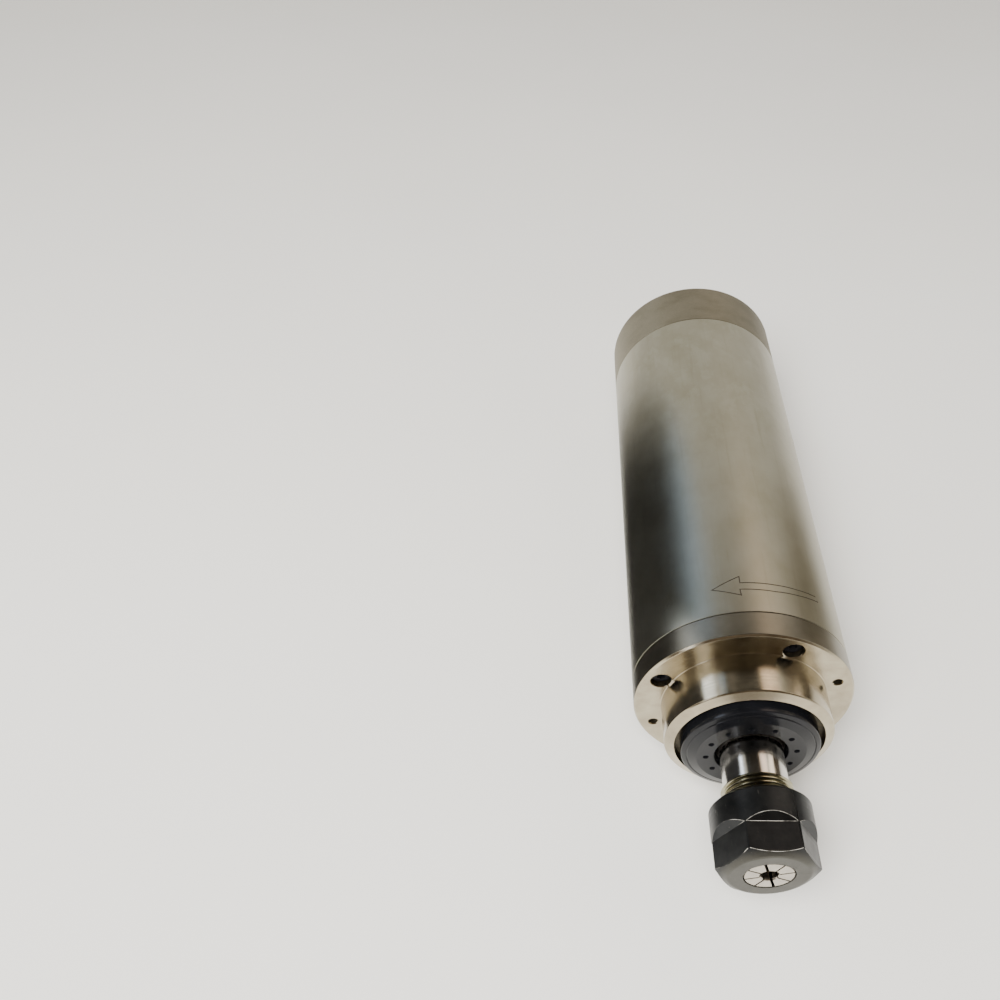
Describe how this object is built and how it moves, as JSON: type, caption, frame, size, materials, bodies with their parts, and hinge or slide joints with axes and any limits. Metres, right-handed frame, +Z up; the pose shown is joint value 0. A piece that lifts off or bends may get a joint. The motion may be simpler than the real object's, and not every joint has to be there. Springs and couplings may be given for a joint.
{
  "type": "motor spindle",
  "caption": "Water-cooled motor spindle lying on its side: round steel body, flanged nose with a bearing cover, and a shaft with a collet and clamping nut.",
  "frame": {"origin": "on the spindle axis, in the plane of the front flange's front face", "axes": "+Y along the spindle axis toward the cable end, the tool end at -Y; +Z up with the spindle lying on its side"},
  "size_m": [0.08, 0.2989, 0.08],
  "materials": {
    "stainless_body": "fine-ground stainless steel, satin",
    "nickel_plate": "bright nickel plate over turned steel",
    "grey_cap_steel": "bead-blasted steel, matt warm grey",
    "black_oxide": "black oxide on machined steel, thin oil film",
    "ground_shaft_steel": "cylindrically ground hardened steel",
    "collet_steel": "ground spring steel",
    "bearing_steel": "lapped bearing steel",
    "cage_resin": "machined cloth-filled resin",
    "silicon_steel": "stacked silicon-steel laminations",
    "copper_winding": "enamelled copper wire, varnished",
    "jacket_aluminium": "milled aluminium",
    "cast_aluminium": "die-cast aluminium",
    "seal_rubber": "moulded nitrile rubber",
    "screw_steel": "black oxide, cold headed",
    "spring_steel": "stamped and hardened strip",
    "brass": "turned brass",
    "copper_washer": "stamped soft copper",
    "socket_insulator": "moulded thermoset, matt",
    "pin_plate": "turned brass, thin gold flash"
  },
  "bodies": {
    "housing": {"body_sleeve": "stainless_body", "water_jacket": "jacket_aluminium", "jacket_seals": "seal_rubber", "front_flange": "nickel_plate", "flange_screws": "screw_steel", "bearing_cover": "black_oxide", "front_bearing_outer_rings": "bearing_steel", "stator_core": "silicon_steel", "stator_windings": "copper_winding", "rear_bearing_seat": "jacket_aluminium", "preload_springs": "spring_steel", "rear_bearing_outer_rings": "bearing_steel", "rear_cap": "grey_cap_steel", "cap_screws": "screw_steel", "socket_shell": "nickel_plate", "socket_insert": "socket_insulator", "socket_pins": "pin_plate", "socket_nut": "nickel_plate", "water_nipple_in": "brass", "water_nipple_out": "brass", "nipple_washers": "copper_washer"},
    "rotor": {"spindle_shaft": "ground_shaft_steel", "rotor_core": "silicon_steel", "rotor_end_rings": "cast_aluminium", "front_bearing_inner_rings": "bearing_steel", "rear_bearing_inner_rings": "bearing_steel", "front_lock_ring": "bearing_steel", "rear_lock_nut": "black_oxide"},
    "front_ball_sets": {"front_bearing_balls": "bearing_steel", "front_bearing_cages": "cage_resin"},
    "rear_ball_sets": {"rear_bearing_balls": "bearing_steel", "rear_bearing_cages": "cage_resin"},
    "collet": {"collet": "collet_steel"},
    "nut": {"collet_nut": "black_oxide"}
  },
  "joints": [
    {"name": "spindle_spin", "type": "hinge", "parent": "housing", "child": "rotor", "pos_m": [0, 0, 0], "axis": [0, -1, 0], "continuous": true},
    {"name": "front_balls_roll", "type": "hinge", "parent": "housing", "child": "front_ball_sets", "pos_m": [0, 0, 0], "axis": [0, -1, 0], "continuous": true},
    {"name": "rear_balls_roll", "type": "hinge", "parent": "housing", "child": "rear_ball_sets", "pos_m": [0, 0, 0], "axis": [0, -1, 0], "continuous": true},
    {"name": "collet_draw", "type": "slide", "parent": "rotor", "child": "collet", "axis": [0, -1, 0], "range_m": [0, 0.0155]},
    {"name": "nut_turn", "type": "hinge", "parent": "collet", "child": "nut", "pos_m": [0, 0, 0], "axis": [0, -1, 0], "range_deg": [0, 3600]}
  ],
  "couplings": [
    {"joint": "front_balls_roll", "follows": "spindle_spin", "ratio": 0.4141},
    {"joint": "rear_balls_roll", "follows": "spindle_spin", "ratio": 0.4034},
    {"joint": "collet_draw", "follows": "nut_turn", "m_per_rad": 0.00023873}
  ]
}
